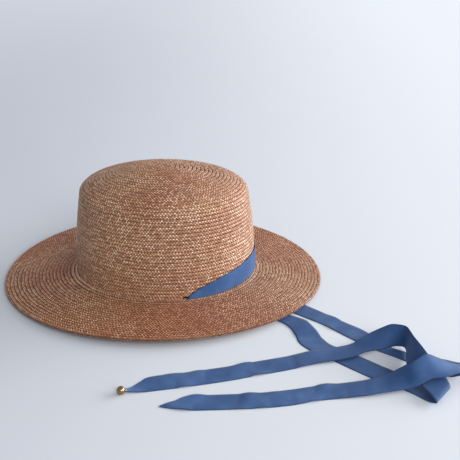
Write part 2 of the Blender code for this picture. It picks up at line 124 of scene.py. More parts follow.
class Graph:
    """A node tree that is filled by calls of its node method."""

    def __init__(self, tree: bpy.types.NodeTree) -> None:
        """Start on a tree."""
        self.tree = tree

    @staticmethod
    def _pick(sockets: Any, key: Union[str, int]) -> bpy.types.NodeSocket:
        """Return the socket of an index, or the one in use of a name."""
        if isinstance(key, int):
            return sockets[key]
        return next(socket for socket in sockets if socket.name == key and socket.enabled)

    def node(self, kind: str, inputs: Optional[dict] = None, output: Union[str, int] = 0,
             **settings: Any) -> Socket:
        """Add a node and return one of its outputs.

        Args:
            kind: The node's type.
            inputs: Values or sockets, by the name or index of the input.
            output: The name or index of the output.
            settings: The node's own settings, which are set first.

        Returns:
            The output, ready for arithmetic.
        """
        made = self.tree.nodes.new(kind)
        for name, value in settings.items():
            setattr(made, name, value)
        for key, value in (inputs or {}).items():
            socket = self._pick(made.inputs, key)
            if isinstance(value, Socket):
                self.tree.links.new(value.link, socket)
            elif socket.type == "RGBA" and len(value) == 3:
                socket.default_value = (*value, 1.0)
            else:
                socket.default_value = value
        return Socket(self, self._pick(made.outputs, output))

    def vector(self, operation: str, *values: Any) -> Socket:
        """Return the result of a Vector Math node on some vectors or sockets."""
        return self.node("ShaderNodeVectorMath", dict(enumerate(values)), operation=operation)

    def scaled(self, vector: Socket, amount: Any) -> Socket:
        """Return a vector times a number."""
        return self.node("ShaderNodeVectorMath", {0: vector, "Scale": amount}, operation="SCALE")

    def point(self, across: Any, along: Any, up: Any = 0.0) -> Socket:
        """Return a vector made of three numbers."""
        return self.node("ShaderNodeCombineXYZ", {"X": across, "Y": along, "Z": up})

    def close(self, kind: str, name: str, last: Socket) -> None:
        """Add the tree's output node and join the last socket to one of its inputs."""
        self.tree.links.new(last.link, self.tree.nodes.new(kind).inputs[name])


class Paint(Graph):
    """A material's nodes."""

    def __init__(self, name: str) -> None:
        """Make a material with an empty tree."""
        self.material = bpy.data.materials.new(name)
        self.material.use_nodes = True
        super().__init__(self.material.node_tree)
        self.tree.nodes.clear()

    def attribute(self, name: str) -> Socket:
        """Return a number kept on the mesh."""
        return self.node("ShaderNodeAttribute", output="Fac", attribute_name=name)

    def place(self) -> Socket:
        """Return the place on the object."""
        return self.node("ShaderNodeTexCoord", output="Object")

    def noise(self, vector: Socket, scale: float, detail: float = 2.0, rough: float = 0.5) -> Socket:
        """Return soft noise from 0 to 1."""
        return self.node("ShaderNodeTexNoise",
                         {"Vector": vector, "Scale": scale, "Detail": detail, "Roughness": rough}, "Fac")

    def blend(self, share: Any, first: Any, second: Any) -> Socket:
        """Return a colour that is a share of the way from the first to the second."""
        return self.node("ShaderNodeMix", {"Factor": share, "A": first, "B": second}, "Result",
                         data_type="RGBA")

    def bump(self, height: Socket, depth: float, strength: float = 1.0) -> Socket:
        """Return a normal bent by a height from 0 to 1."""
        return self.node("ShaderNodeBump", {"Strength": strength, "Distance": depth, "Height": height},
                         "Normal")

    def finish(self, **inputs: Any) -> bpy.types.Material:
        """Join the surface shader to the output and return the material.

        Args:
            inputs: Values or sockets of the shader, with underscores for the spaces in their names.

        Returns:
            The material.
        """
        named = {name.replace("_", " "): value for name, value in inputs.items()}
        shader = self.node("ShaderNodeBsdfPrincipled", named)
        self.close("ShaderNodeOutputMaterial", "Surface", shader)
        return self.material


# Finishes

@dataclass(frozen=True)
class StrawFinish:
    """Plaited straw, warm brown, with painted shade in the grooves between its rows.

    Each row has an upper and a lower line of knuckles with painted highlights, half a stitch apart, with
    painted shade in the pits between one knuckle and the next. The braid keeps its run, counted in stitches,
    and its side, which goes from -1 at a row's inner edge to 1 at its outer one. Wax is the thin coat's
    weight, and ridge is how strong the painted highlight on the crest of a raised row is.
    """

    slot: str = "straw"
    # A dark tone for knuckles of random dark tone, also used for the painted shade in the pits and grooves.
    deep: tuple = (0.050, 0.015, 0.006)
    brown: tuple = (0.392, 0.164, 0.061)
    red: tuple = (0.340, 0.117, 0.043)
    pale: tuple = (0.640, 0.370, 0.190)
    # The colour of the painted highlights on the knuckles and on a raised row's crest.
    painted_glint: tuple = (1.000, 0.880, 0.740)
    # Strength of the painted shade in the grooves between rows, and where across a row it starts.
    groove_shade: float = 0.85
    groove_shade_start: float = 0.82
    # Strength of the painted shade in the pits between knuckles.
    pit_shade: float = 0.85
    knuckle_depth: float = 0.00026
    wax: float = 0.16
    # Strength of the painted highlight on the crest of the raised rows.
    ridge: float = 0.80
    upper_line: float = -0.44
    lower_line: float = 0.52
    line_split: float = 0.04
    patch_scale: float = 16.0
    warm_scale: float = 6.5
    pale_share: float = 0.70
    deep_share: float = 0.35
    # How much the warm patches weaken the painted highlights on the knuckles.
    warm_dims_glint: float = 0.35
    rough: float = 0.44
    knuckle_gloss: float = 0.18
    fibre_rough: float = 0.06

    @staticmethod
    def _line(side: Socket, middle: float) -> Socket:
        """Return how near a place is to a line of knuckles, from 0 to 1."""
        return (1.0 - abs(side - middle) * 2.0).between(0.0, 0.75)

    def material(self) -> bpy.types.Material:
        """Return the material, which follows a braid's run, side and ridge attributes."""
        paint = Paint(self.slot)
        place = paint.place()
        run = paint.attribute("run")
        side = paint.attribute("side")
        swell = (run * math.tau).cosine() * 0.5 + 0.5
        upper = self._line(side, self.upper_line)
        lower = self._line(side, self.lower_line)
        knuckle = swell * upper + (1.0 - swell) * lower
        # Painted shade: the pits between one knuckle and the next.
        pit_shade = (1.0 - swell) * upper + swell * lower
        below = side > self.line_split
        cell = (run + 0.5 - below * 0.5).floor()
        tone = paint.node("ShaderNodeTexWhiteNoise", {"Vector": paint.point(cell, below)}, "Value",
                          noise_dimensions="2D")
        patch = paint.noise(place, self.patch_scale, 3.0)
        warm = paint.noise(place, self.warm_scale, 2.0).between(0.40, 0.60)
        pale = tone.between(0.35, 1.0) * patch.between(0.3, 0.75) * self.pale_share
        deep = (1.0 - tone).between(0.6, 1.0) * self.deep_share
        # Painted shade: the grooves at a row's two edges, where it meets the next row.
        edge = abs(side).between(self.groove_shade_start, 1.02)
        # Painted highlights: the knuckles are lightened as if light caught them, stronger in some patches.
        glint_highlight = knuckle.between(0.52, 0.90) * (0.16 + tone * tone * 1.1) * (0.45 + patch * 1.1)
        colour = paint.blend(warm, self.brown, self.red)
        colour = paint.blend(pale, colour, self.pale)
        colour = paint.blend(deep, colour, self.deep)
        # Painted shade in the pits between knuckles.
        colour = paint.blend(pit_shade.between(0.45, 1.0) * self.pit_shade, colour, self.deep)
        # Painted shade in the grooves between rows.
        colour = paint.blend(edge * self.groove_shade, colour, self.deep)
        # Painted highlight on the knuckles, weaker in the warm patches.
        colour = paint.blend(glint_highlight * (1.0 - warm * self.warm_dims_glint), colour, self.painted_glint)
        # Painted highlight on the upper line of knuckles of the raised rows, the brim's first rows at the
        # crown.
        colour = paint.blend(paint.attribute("ridge") * upper * self.ridge, colour, self.painted_glint)
        fibre = paint.noise(paint.point(run * 4.6 + side * 1.6, side * 5.0), 1.0, 2.0)
        rough = self.rough - glint_highlight * self.knuckle_gloss + fibre * self.fibre_rough
        return paint.finish(Base_Color=colour, Roughness=rough, Specular_IOR_Level=0.5,
                            Coat_Weight=self.wax, Coat_Roughness=0.40,
                            Normal=paint.bump(fibre * 0.25 + knuckle * 0.75, self.knuckle_depth))


CROWN_STRAW = StrawFinish()
BRIM_STRAW = StrawFinish(brown=(0.395, 0.140, 0.046), red=(0.366, 0.106, 0.033), pale=(0.640, 0.340, 0.155),
                         painted_glint=(1.000, 0.800, 0.600), groove_shade=0.97, groove_shade_start=0.62, pit_shade=0.97, wax=0.06)


@dataclass(frozen=True)
class ClothFinish:
    """Soft woven ribbon, matt blue with fine ribs across it."""

    slot: str = "ribbon_cloth"
    blue: tuple = (0.025, 0.078, 0.212)
    light: tuple = (0.046, 0.113, 0.275)
    dark: tuple = (0.014, 0.035, 0.098)
    rib: float = 0.0007
    rib_depth: float = 0.00008
    cloud_scale: float = 34.0
    selvedge: float = 0.55
    threads_along: float = 900.0
    threads_across: float = 60.0
    rough: float = 0.62
    sheen: float = 0.12

    def material(self) -> bpy.types.Material:
        """Return the material, which follows the run and side attributes of the ribbon."""
        paint = Paint(self.slot)
        place = paint.place()
        run = paint.attribute("run")
        side = paint.attribute("side")
        cloud = paint.noise(place, self.cloud_scale, 3.0, 0.55)
        colour = paint.blend(cloud.between(0.36, 0.68), self.blue, self.light)
        colour = paint.blend(abs(side).between(0.86, 0.98) * self.selvedge, colour, self.dark)
        ribs = (run * (math.tau / self.rib)).sine() * 0.5 + 0.5
        threads = paint.noise(paint.point(run * self.threads_along, side * self.threads_across), 1.0, 1.0)
        return paint.finish(Base_Color=colour, Roughness=self.rough + cloud * 0.12, Sheen_Weight=self.sheen,
                            Sheen_Roughness=0.4, Specular_IOR_Level=0.35,
                            Normal=paint.bump(ribs * 0.6 + threads * 0.4, self.rib_depth))


@dataclass(frozen=True)
class GoldFinish:
    """Polished metal of a dark gold colour, with faint handling marks."""

    slot: str = "gold"
    gold: tuple = (0.33, 0.23, 0.13)
    shade: tuple = (0.14, 0.09, 0.05)
    mark_scale: float = 900.0
    mark_share: float = 0.6
    mark_depth: float = 0.00002
    rough: float = 0.18

    def material(self) -> bpy.types.Material:
        """Return the material."""
        paint = Paint(self.slot)
        marks = paint.noise(paint.place(), self.mark_scale, 3.0)
        colour = paint.blend(marks.between(0.45, 0.75) * self.mark_share, self.gold, self.shade)
        return paint.finish(Base_Color=colour, Metallic=1.0, Roughness=self.rough + marks * 0.14,
                            Normal=paint.bump(marks, self.mark_depth))


@dataclass(frozen=True)
class FloorFinish:
    """Pale, smooth, slightly blue backdrop paper, with painted shade that makes it darker on the hat's left,
    and painted light that makes it paler far behind it.
    """

    name: str = "backdrop"
    # The colour of the painted shade on the hat's left.
    painted_shade: tuple = (0.480, 0.503, 0.553)
    pale: tuple = (0.780, 0.812, 0.858)
    painted_shade_side: float = -0.55
    painted_light_side: float = 0.45
    near_depth: float = 0.3
    far_depth: float = 2.5
    far_painted_light: float = 0.42
    mottle_scale: float = 3.0
    mottle: float = 0.05

    def material(self) -> bpy.types.Material:
        """Return the material."""
        paint = Paint(self.name)
        place = paint.place()
        mottle = paint.noise(place, self.mottle_scale, 2.0)
        aside, depth = (paint.node("ShaderNodeSeparateXYZ", {"Vector": place}, axis) for axis in "XY")
        # Painted shade and light: the floor goes darker towards the hat's left and paler far behind it, in
        # place of the lamps' falloff.
        share = aside.between(self.painted_shade_side, self.painted_light_side) * (1.0 - self.mottle) + mottle * self.mottle
        share = share + (1.0 - share) * depth.between(self.near_depth, self.far_depth) * self.far_painted_light
        colour = paint.blend(share, self.painted_shade, self.pale)
        return paint.finish(Base_Color=colour, Roughness=0.85, Specular_IOR_Level=0.2)


# Braid

Strand = namedtuple("Strand", "way level twist crest edge")


class Slit(Enum):
    """The long side of the crown that a slit is on."""

    NEAR = -1.0
    FAR = 1.0


def unit(vectors: np.ndarray) -> np.ndarray:
    """Return vectors with a length of 1."""
    return vectors / np.maximum(np.linalg.norm(vectors, axis=-1, keepdims=True), 1e-12)


def mesh_object(name: str, points: np.ndarray, faces: Sequence[tuple]) -> bpy.types.Object:
    """Return an object with a smooth mesh, linked to the scene.

    Args:
        name: The piece's name.
        points: Its points, one row each.
        faces: Its faces, as indices of points.

    Returns:
        The object, at the origin.
    """
    mesh = bpy.data.meshes.new(name)
    mesh.from_pydata(points.tolist(), [], faces)
    mesh.shade_smooth()
    made = bpy.data.objects.new(name, mesh)
    bpy.context.scene.collection.objects.link(made)
    return made


def tube_faces(sections: int, corners: int) -> list[tuple]:
    """Return the faces of a closed tube, a ring of corners for each section, with its ends capped."""
    faces = []
    for section in range(sections - 1):
        low = section * corners
        for corner in range(corners):
            after = (corner + 1) % corners
            faces.append((low + corner, low + after, low + corners + after, low + corners + corner))
    faces.append(tuple(range(corners)))
    faces.append(tuple(range(sections * corners - 1, (sections - 1) * corners - 1, -1)))
    return faces


def face_outwards(mesh: bpy.types.Mesh) -> None:
    """Turn a closed mesh's faces round if they point inwards."""
    mesh.calc_loop_triangles()
    corners = np.empty(len(mesh.loop_triangles) * 3, np.int32)
    mesh.loop_triangles.foreach_get("vertices", corners)
    points = np.empty(len(mesh.vertices) * 3, np.float32)
    mesh.vertices.foreach_get("co", points)
    triangles = points.reshape(-1, 3)[corners.reshape(-1, 3)].astype(float)
    volume = np.einsum("ij,ij->i", triangles[:, 0], np.cross(triangles[:, 1], triangles[:, 2])).sum()
    if volume < 0.0:
        mesh.flip_normals()


def keep_number(mesh: bpy.types.Mesh, name: str, values: np.ndarray) -> None:
    """Keep a number, or a vector, for each of a mesh's points."""
    vector = values.ndim == 2
    kept = mesh.attributes.new(name, "FLOAT_VECTOR" if vector else "FLOAT", "POINT")
    kept.data.foreach_set("vector" if vector else "value", values.astype(np.float32).ravel())


@dataclass
class WoundBraid:
    """One long plait wound round a surface, each row sewn over the edge of the next.

    Each strand is one long edge of the braid's section. Way is its place across the row, in row widths, and
    level its height, in walls. Twist, edge and crest are how much it takes of the plait's wave, of the
    scalloped edge and of the ridge. The braid's ends taper off to thinnest, in row widths. To find even
    steps along it, trial_steps places are tried in each turn.
    """

    name: str
    node: str
    centre: Vector
    rows: float = field(init=False, default=1.0)
    row_width: float = 0.0039
    wall: float = 0.0020
    stitch: float = 0.0032
    plait_depth: float = 0.00028
    scallop: float = 0.00030
    ridge: float = 0.00110
    unevenness: float = 0.35
    first_row: float = 0.08
    thinnest: float = 0.04
    trial_steps: int = 720
    seed: int = 7

    strands = (
        Strand(-0.64, -0.58, 0.0, 0.0, 0.0),
        Strand(-0.42, -0.08, 1.0, 0.6, 0.0),
        Strand(0.03, 0.02, 0.0, 1.0, 0.0),
        Strand(0.42, -0.03, -1.0, 0.6, 0.3),
        Strand(0.51, -0.40, 0.0, 0.0, 1.0),
        Strand(0.28, -0.82, 0.0, 0.0, 0.0),
        Strand(-0.30, -1.00, 0.0, 0.0, 0.0),
    )

    def point(self, turn: np.ndarray, row: np.ndarray) -> np.ndarray:
        """Return points of the outer surface, at angles and rows counted from the braid's start."""
        raise NotImplementedError

    def outer_limit(self, turn: np.ndarray) -> np.ndarray:
        """Return the row at which the braid ends, at some angles."""
        return np.full_like(turn, self.rows)

    def ridge_share(self, row: np.ndarray) -> np.ndarray:
        """Return how much of the ridge's height each row has."""
        return np.zeros_like(row)

    def _place(self, coil: np.ndarray) -> tuple[np.ndarray, np.ndarray, np.ndarray]:
        """Return the angle, the middle row and the width in rows of the braid after some turns."""
        turn = math.tau * coil
        limit = self.outer_limit(turn)
        high = np.minimum(coil, limit)
        low = np.minimum(np.maximum(coil - 1.0, 0.0), limit - self.thinnest)
        return turn, 0.5 * (low + high), np.maximum(high - low, self.thinnest)

    def _even_coil(self) -> np.ndarray:
        """Return the turns at even steps of half a stitch along the braid."""
        last_row = self.rows + 1.0 - self.first_row
        coil = np.linspace(self.first_row, last_row, int(self.rows + 1) * self.trial_steps)
        turn, row, _ = self._place(coil)
        run = np.linalg.norm(np.diff(self.point(turn, row), axis=0), axis=1)
        length = np.concatenate(([0.0], np.cumsum(run)))
        count = round(length[-1] / (0.5 * self.stitch))
        return np.interp(np.linspace(0.0, length[-1], count + 1), length, coil)

    def _base(self) -> bpy.types.Object:
        """Return the braid's closed strip before it is plaited, with its directions kept on its points."""
        coil = self._even_coil()
        turn, row, span = self._place(coil)
        centre = self.point(turn, row)
        along = unit(np.gradient(centre, axis=0))
        nudge = 1e-4
        rounds = self.point(turn + nudge, row) - self.point(turn - nudge, row)
        outer = self.point(turn, row + nudge) - self.point(turn, row - nudge)
        outward = -unit(np.cross(rounds, outer))
        outward = unit(outward - along * (outward * along).sum(axis=1, keepdims=True))
        across = np.cross(along, outward)
        across *= np.sign((across * outer).sum(axis=1, keepdims=True))
        count = len(self.strands)
        columns = {key: np.tile([getattr(strand, key) for strand in self.strands], len(coil))
                   for key in Strand._fields}
        spread = {"centre": centre + np.array(self.centre), "along": along, "outward": outward,
                  "across": across, "span": span, "ridge": self.ridge_share(row),
                  "run": 0.5 * np.arange(len(coil))}
        made = mesh_object(self.name, np.repeat(centre, count, axis=0), tube_faces(len(coil), count))
        for key, values in {**columns, **{key: np.repeat(value, count, axis=0)
                                          for key, value in spread.items()}}.items():
            keep_number(made.data, key, values)
        keep_number(made.data, "side", columns["way"] * 2.0)
        return made

    def _tree(self) -> bpy.types.NodeTree:
        """Return the tree that lays the strip out and plaits it, with named inputs for its sizes."""
        tree = bpy.data.node_groups.new("plaited braid", "GeometryNodeTree")
        face = tree.interface
        face.new_socket("Geometry", in_out="OUTPUT", socket_type="NodeSocketGeometry")
        face.new_socket("Geometry", in_out="INPUT", socket_type="NodeSocketGeometry")
        for name in ("Row Width", "Wall", "Plait Depth", "Scallop", "Ridge", "Unevenness"):
            face.new_socket(name, in_out="INPUT", socket_type="NodeSocketFloat")
        face.new_socket("Seed", in_out="INPUT", socket_type="NodeSocketInt")
        face.new_socket("Material", in_out="INPUT", socket_type="NodeSocketMaterial")
        graph = Graph(tree)
        entry = tree.nodes.new("NodeGroupInput")
        given = {socket.name: Socket(graph, socket) for socket in entry.outputs if socket.name}

        def kept(name: str, kind: str = "FLOAT") -> Socket:
            """Return a number or vector kept on the points."""
            return graph.node("GeometryNodeInputNamedAttribute", {"Name": name}, "Attribute", data_type=kind)

        wave = (kept("run") * math.tau).cosine()
        chance = graph.node("FunctionNodeRandomValue",
                            {"Min": -1.0, "Max": 1.0, "Seed": given["Seed"]}, "Value", data_type="FLOAT")
        wave = wave * (1.0 + chance * given["Unevenness"])
        aside = kept("way") * kept("span") * given["Row Width"] + kept("edge") * wave * given["Scallop"]
        above = kept("level") * given["Wall"] + kept("twist") * wave * given["Plait Depth"]
        above = above + kept("crest") * kept("ridge") * given["Ridge"]
        place = graph.vector("ADD", kept("centre", "FLOAT_VECTOR"),
                             graph.scaled(kept("across", "FLOAT_VECTOR"), aside))
        place = graph.vector("ADD", place, graph.scaled(kept("outward", "FLOAT_VECTOR"), above))
        laid = graph.node("GeometryNodeSetPosition", {"Geometry": given["Geometry"], "Position": place})
        whole = graph.node("GeometryNodeRealizeInstances", {"Geometry": laid})
        dressed = graph.node("GeometryNodeSetMaterial", {"Geometry": whole, "Material": given["Material"]})
        graph.close("NodeGroupOutput", "Geometry", dressed)
        return tree

    def build(self, finish: StrawFinish) -> bpy.types.Object:
        """Make the braid, dress it and put it in its node's place.

        Args:
            finish: The straw's finish.

        Returns:
            The finished piece.
        """
        made = self._base()
        modifier = made.modifiers.new("plait", "NODES")
        modifier.node_group = self._tree()
        sizes = {"Row Width": self.row_width, "Wall": self.wall, "Ridge": self.ridge,
                 "Plait Depth": self.plait_depth, "Scallop": self.scallop,
                 "Unevenness": self.unevenness, "Seed": self.seed,
                 "Material": finish.material()}
        for item in modifier.node_group.interface.items_tree:
            if item.in_out == "INPUT" and item.name in sizes:
                modifier[item.identifier] = sizes[item.name]
        depsgraph = bpy.context.evaluated_depsgraph_get()
        mesh = bpy.data.meshes.new_from_object(made.evaluated_get(depsgraph), depsgraph=depsgraph)
        made.modifiers.clear()
        made.data = mesh
        for kept in [item.name for item in mesh.attributes if item.name in self._scaffold()]:
            mesh.attributes.remove(mesh.attributes[kept])
        face_outwards(mesh)
        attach(made, "root")
        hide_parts(self.node)
        log.info("%s: %d faces", made.name, len(mesh.polygons))
        return made

    @staticmethod
    def _scaffold() -> set[str]:
        """Return the names of what was kept on the points only to lay the braid out."""
        return {"centre", "along", "outward", "across", "span", *Strand._fields}


@dataclass
class CrownBraid(WoundBraid):
    """The crown, wound from the middle of its top down to its foot."""

    half_length: float = 0.1000
    half_width: float = 0.0855
    height: float = 0.1194
    taper: float = 0.0073
    bulge: float = 0.0019
    shoulder_width: float = 0.0265
    shoulder_depth: float = 0.0199
    dome_rise: float = 0.0098
    foot: float = 0.0098
    start_shift: float = -0.0060
    start_stretch: float = 0.8
    slit_angle: float = 64.0
    slit_length: float = 0.0282
    slit_height: float = 0.0026
    slit_ease: float = 0.0030
    profile_steps: int = 40
    least_reach: float = 0.0008

    def __post_init__(self) -> None:
        """Work out the profile and how many rows it takes."""
        start = self.height - self.dome_rise - self.shoulder_depth
        rim = self.height - self.dome_rise
        side = np.linspace(0.0, 1.0, self.profile_steps)
        inset = self.taper * side - self.bulge * np.sin(math.pi * side)
        bend = side[1:]
        self.rim_inset = self.taper + self.shoulder_width
        slope = 2.0 * self.dome_rise / (self.half_length - self.rim_inset)
        corner = rim - slope * self.shoulder_width
        low = start + (corner - start) * bend
        high = corner + (rim - corner) * bend
        top = np.linspace(self.rim_inset, self.half_width, self.profile_steps)[1:]
        self.insets = np.concatenate((inset, self.taper + self.shoulder_width * bend ** 2, top))
        self.heights = np.concatenate((start * side, low + (high - low) * bend, np.full_like(top, rim)))
        steps = np.hypot(np.diff(self.insets), np.diff(self.heights))
        self.ways = np.concatenate(([0.0], np.cumsum(steps)))
        self.rows = self.ways[-1] / self.row_width

    def point(self, turn: np.ndarray, row: np.ndarray) -> np.ndarray:
        """Return points of the crown's outer face, row 0 in the middle of the top."""
        way = self.ways[-1] - row * self.row_width
        inset = np.interp(way, self.ways, self.insets)
        level = np.interp(way, self.ways, self.heights)
        reach = self.half_width - inset
        apart = self.half_length - self.half_width
        rim = self.half_width - self.rim_inset
        near = np.maximum(1.0 / np.maximum(reach, self.least_reach) - 1.0 / rim, 0.0)
        stretch = 1.0 + self.start_stretch * apart * near
        swing = np.cos(turn) * stretch / np.sqrt(1.0 + (stretch ** 2 - 1.0) * np.cos(turn) ** 2)
        aside = apart * swing + reach * np.cos(turn)
        back = reach * np.sin(turn)
        on_top = inset > self.rim_inset
        share = np.minimum(reach / rim, 1.0)
        aside = aside + np.where(on_top, self.start_shift * (1.0 - share) ** 2, 0.0)
        spread = np.hypot(aside / (apart + rim), back / rim)
        domed = self.height - self.dome_rise * spread ** 2
        return np.stack((aside, back, np.where(on_top, domed, level) + self.foot), axis=-1)

    def outer_limit(self, turn: np.ndarray) -> np.ndarray:
        """Return the row at which the crown's foot ends, higher up over the two slits."""
        limit = np.full_like(turn, self.rows)
        for slit in Slit:
            middle = slit.value * math.radians(self.slit_angle)
            off = (turn - middle + math.pi) % math.tau - math.pi
            speed = math.hypot(self.half_length * math.sin(middle), self.half_width * math.cos(middle))
            past = np.abs(off) * speed - 0.5 * self.slit_length
            open_share = 0.5 + 0.5 * np.cos(math.pi * np.clip(past / self.slit_ease, 0.0, 1.0))
            limit -= open_share * self.slit_height / self.row_width
        return limit


Edge = namedtuple("Edge", "direction width lift")


@dataclass
class BrimBraid(WoundBraid):
    """The brim, wound from the crown's foot out to its edge.

    Its edge has a row for each direction, in degrees, with its width and lift as shares of the brim's own.
    """

    half_length: float = 0.1000
    half_width: float = 0.0855
    width: float = 0.0780
    lift: float = 0.0065
    curve: float = 1.3
    join_height: float = 0.0075
    tuck: float = 0.0020
    ridge_rows: float = 2.6

    edge = (
        Edge(0.0, 0.955, 0.00),
        Edge(45.0, 0.965, 0.20),
        Edge(90.0, 0.985, 0.85),
        Edge(135.0, 1.005, 0.70),
        Edge(180.0, 1.025, 0.12),
        Edge(200.0, 1.030, 0.10),
        Edge(225.0, 1.035, 0.45),
        Edge(270.0, 1.020, 1.00),
        Edge(315.0, 0.980, 0.75),
    )

    def __post_init__(self) -> None:
        """Work out how many rows the brim takes."""
        self.rows = float(round((self.width + self.tuck) / self.row_width))

    def ridge_share(self, row: np.ndarray) -> np.ndarray:
        """Return how much of the ridge's height each row has, most of it next to the crown."""
        return np.clip(self.ridge_rows - row, 0.0, 1.0)

    def _around(self, column: str, turn: np.ndarray) -> np.ndarray:
        """Return a column of the edge's table, read smoothly at some angles."""
        places = np.array([row.direction for row in self.edge])
        degrees = np.degrees(turn) % 360.0
        place = np.searchsorted(places, degrees, side="right") - 1
        ends = np.append(places, 360.0)
        share = (degrees - ends[place]) / (ends[place + 1] - ends[place])
        values = np.array([getattr(row, column) for row in self.edge])
        before, low, high, after = (values[(place + step) % len(values)] for step in (-1, 0, 1, 2))
        return smooth_between(before, low, high, after, share)

    def point(self, turn: np.ndarray, row: np.ndarray) -> np.ndarray:
        """Return points of the brim's upper face, row 0 inside the crown's foot."""
        share = (row / self.rows) * (1.0 + self.tuck / self.width) - self.tuck / self.width
        reach = share * self.width * self._around("width", turn)
        lift = self.lift * np.maximum(self._around("lift", turn), 0.0)
        level = self.join_height + (lift - self.join_height) * np.maximum(share, 0.0) ** self.curve
        return np.stack(((self.half_length + reach) * np.cos(turn),
                         (self.half_width + reach) * np.sin(turn), level + self.wall), axis=-1)


# Ribbon

def smooth_between(before: Any, low: Any, high: Any, after: Any, share: Any) -> Any:
    """Return a value on the smooth curve through low and high.

    Args:
        before: The value before low.
        low: The value at share 0.
        high: The value at share 1.
        after: The value after high.
        share: How far the place is from low to high.

    Returns:
        The value there.
    """
    rise = 0.5 * (high - before)
    leave = 0.5 * (after - low)
    bend = low - high
    return low + share * (rise + share * (-3.0 * bend - 2.0 * rise - leave
                                          + share * (2.0 * bend + rise + leave)))


Wrap = namedtuple("Wrap", "way height lean spread")
Drop = namedtuple("Drop", "inward dropped")
Lay = namedtuple("Lay", "along aside layers clear across rise spread")
Ripple = namedtuple("Ripple", "length slant height start")


